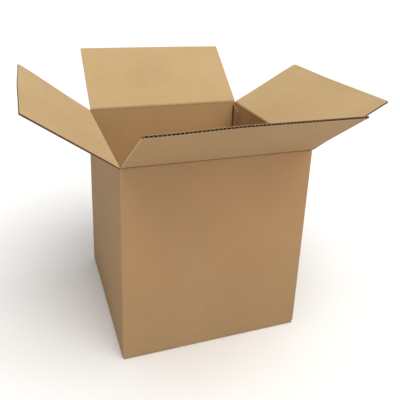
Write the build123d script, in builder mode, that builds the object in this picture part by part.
"""Open cardboard box: a regular slotted carton of single-wall corrugated board.

The origin is the centre of the underside, on the floor. X is the length, Y the width and
Z is up. The front wall faces -Y and the left wall faces -X.
"""

from build123d import *
import math
import os

# ---------------------------------------------------------------- driving sizes, mm
length_outer = 465.0  # outside, along X
width_outer = 465.0  # outside, along Y
height_outer = 500.0  # floor to the score of the front and back flaps

board = 4.0  # thickness of the single-wall board
liner = 0.4  # each outer paper of the board
medium = 0.3  # the waved paper between the liners
flute_pitch = 7.9  # one full wave of a C flute

fold_radius = 3.0  # middle of the board, at the upright corner folds
crease_radius = 2.4  # middle of the board, where the bottom flaps turn in
layer_gap = 0.3  # air between flaps that lie on each other
seam_gap = 4.0  # between the edges of two flaps that meet
flap_side_gap = 1.0  # between a closed flap's side and the wall beside it
score_gap = 0.15  # each side of a flap's fold, square to the mitred faces
score_crush = 11.0  # the flutes are pressed shut this far from a flap's fold

tab_width = 36.0  # glued lap, along the wall that it is glued to
tab_taper = 16.0  # how much shorter the lap's free edge is, at each end
tab_end_gap = 1.2  # from each end of the lap to the flap that closes over it
raw_edge_setback = 1.0  # the cut edge of the right wall, in from the back wall's face

tape_width = 48.0
tape_thickness = 0.1

# how far each top flap leans outwards from upright, degrees
front_lean = 54.0
back_lean = 51.5
left_lean = 55.0
right_lean = 62.0

# ---------------------------------------------------------------- worked-out sizes
half_x = length_outer / 2
half_y = width_outer / 2
side_inset = board + flap_side_gap  # half of the slot between two flaps
flap_depth = min(length_outer, width_outer) / 2 - seam_gap / 2
major_half = half_x - side_inset  # half the width of a front or back flap
minor_half = half_y - side_inset  # half the width of a left or right flap

major_score = height_outer
minor_score = height_outer - board - layer_gap
score_tip = score_gap * math.sqrt(2)  # from a fold's axis to the tip of each mitre

major_floor = tape_thickness  # underside of the bottom's outer layer
minor_floor = major_floor + board + layer_gap  # underside of the inner layer
crease_outer = crease_radius + board / 2
wall_foot = minor_floor + crease_outer  # the bottom slots end here
panel_overlap = 1.0  # how far a folded strip runs up into its wall

lap_outer_x = half_x - board  # the lap is glued to the right wall's inner face
lap_mid_x = lap_outer_x - board / 2
fold_start = fold_radius + board / 2  # from a corner's outer face to where the fold begins
lap_foot = minor_floor + board + tab_end_gap
lap_head = minor_score - board - tab_end_gap


# ---------------------------------------------------------------- helpers
def wave(half_span):
    """Draws the waved paper's middle line as arcs, crest by crest, past both ends."""
    quarter = flute_pitch / 4
    rise = (board - 2 * liner) / 2
    count = math.ceil(half_span / (2 * quarter))
    for crest in range(-count, count):
        start = 2 * quarter * crest
        height = rise if crest % 2 == 0 else -rise
        ThreePointArc((start, 0), (start + quarter, height), (start + 2 * quarter, 0))


def fluted_flap(hinge, half_width):
    """Builds one top flap.

    hinge is the fold's plane: its origin is on the axis, x runs along the fold, y out
    along the flap and z towards the flap's inner face. The board fills z 0 to board.
    """
    middle = hinge.offset(board / 2)
    section_plane = Plane(
        origin=middle.from_local_coords((0, score_crush, 0)),
        x_dir=hinge.x_dir,
        z_dir=hinge.y_dir,
    )
    profile_plane = Plane(
        origin=hinge.origin,
        x_dir=hinge.y_dir,
        z_dir=-hinge.x_dir,
    )
    with BuildPart() as flap:
        # two liners and the waved paper, seen along the flutes
        with BuildSketch(section_plane):
            with BuildLine():
                wave(half_width + flute_pitch)
            trace(line_width=medium)
            with Locations((0, (board - liner) / 2), (0, (liner - board) / 2)):
                Rectangle(2 * half_width, liner)
            Rectangle(2 * half_width, board, mode=Mode.INTERSECT)
        extrude(amount=flap_depth - score_crush)
        # the pressed strip beside the fold, with its mitred root
        with BuildSketch(profile_plane):
            with BuildLine():
                Polyline(
                    (score_tip, 0),
                    (score_crush, 0),
                    (score_crush, -board),
                    (score_tip + board, -board),
                    close=True,
                )
            make_face()
        extrude(amount=half_width, both=True)
    return flap.part


def hinge_plane(side, lean):
    """The fold's plane of one flap, on the wall's outer face, for a lean in degrees."""
    outward = {
        "front": Vector(0, -1, 0),
        "back": Vector(0, 1, 0),
        "left": Vector(-1, 0, 0),
        "right": Vector(1, 0, 0),
    }[side]
    is_major = side in ("front", "back")
    reach = half_y if is_major else half_x
    score = major_score if is_major else minor_score
    up = Vector(0, 0, 1)
    swing = math.radians(lean)
    inner_face = up * math.sin(swing) - outward * math.cos(swing)
    along = outward * math.sin(swing) + up * math.cos(swing)
    return Plane(
        origin=outward * reach + up * score,
        x_dir=along.cross(inner_face),
        z_dir=inner_face,
    )


# ---------------------------------------------------------------- the folded sheet
with BuildPart() as carton_body:
    # the four walls, from the back wall's lap corner round to the right wall's cut edge
    with BuildSketch(Plane.XY.offset(wall_foot)):
        with BuildLine():
            FilletPolyline(
                (lap_outer_x - fold_start, half_y - board / 2),
                (-half_x + board / 2, half_y - board / 2),
                (-half_x + board / 2, -half_y + board / 2),
                (half_x - board / 2, -half_y + board / 2),
                (half_x - board / 2, half_y - raw_edge_setback),
                radius=fold_radius,
            )
        trace(line_width=board)
    extrude(amount=minor_score - wall_foot)

    # the lap: it turns the corner from the back wall and is glued inside the right wall
    with BuildSketch(Plane.XY.offset(lap_foot)):
        with BuildLine():
            FilletPolyline(
                (lap_outer_x - fold_start - panel_overlap, half_y - board / 2),
                (lap_mid_x, half_y - board / 2),
                (lap_mid_x, half_y - board - tab_width),
                radius=fold_radius,
            )
        trace(line_width=board)
    extrude(amount=lap_head - lap_foot)
    lap_edge_y = half_y - board - tab_width
    for level, slope in ((lap_foot, 1), (lap_head, -1)):
        with BuildSketch(Plane.YZ.offset(lap_outer_x)):
            with BuildLine():
                Polyline(
                    (half_y - board, level),
                    (lap_edge_y, level + slope * tab_taper),
                    (lap_edge_y, level),
                    close=True,
                )
            make_face()
        extrude(amount=-board, mode=Mode.SUBTRACT)

    # the front and back walls rise to their own score between the slots, mitred inwards
    for facing in (-1, 1):
        with BuildSketch(Plane.YZ):
            with BuildLine():
                Polyline(
                    (facing * half_y, minor_score - panel_overlap),
                    (facing * half_y, major_score - score_tip),
                    (facing * (half_y - board), major_score - board - score_tip),
                    (facing * (half_y - board), minor_score - panel_overlap),
                    close=True,
                )
            make_face()
        extrude(amount=major_half, both=True)

    # the left and right walls are mitred down from theirs
    for facing in (-1, 1):
        with BuildSketch(Plane.XZ):
            with BuildLine():
                Polyline(
                    (facing * half_x, minor_score - score_tip),
                    (facing * half_x, minor_score),
                    (facing * (half_x - board), minor_score),
                    (facing * (half_x - board), minor_score - board - score_tip),
                    close=True,
                )
            make_face()
        extrude(amount=half_y - board, both=True, mode=Mode.SUBTRACT)

    # the bottom flaps: left and right turn in first, then front and back under them
    for plane, half_span, floor, half_width in (
        (Plane.XZ, half_x, minor_floor, minor_half),
        (Plane.YZ, half_y, major_floor, major_half),
    ):
        with BuildSketch(plane):
            with BuildLine():
                FilletPolyline(
                    (-half_span + board / 2, wall_foot + panel_overlap),
                    (-half_span + board / 2, floor + board / 2),
                    (-half_span + flap_depth, floor + board / 2),
                    radius=crease_radius,
                )
            trace(line_width=board)
            mirror(about=Plane.YZ)
        extrude(amount=half_width, both=True)

# ---------------------------------------------------------------- the tape
with BuildPart() as bottom_tape:
    with BuildSketch(Plane.XY):
        Rectangle(2 * major_half, tape_width)
    extrude(amount=tape_thickness)

# ---------------------------------------------------------------- write the pieces
os.makedirs("parts", exist_ok=True)

carton_body.part.label = "carton_body"
export_step(carton_body.part, "parts/carton_body.step")

bottom_tape.part.label = "bottom_tape"
export_step(bottom_tape.part, "parts/bottom_tape.step")

for side, lean, half_width in (
    ("front", front_lean, major_half),
    ("back", back_lean, major_half),
    ("left", left_lean, minor_half),
    ("right", right_lean, minor_half),
):
    top_flap = fluted_flap(hinge_plane(side, lean), half_width)
    top_flap.label = f"top_flap_{side}"
    export_step(top_flap, f"parts/top_flap_{side}.step")
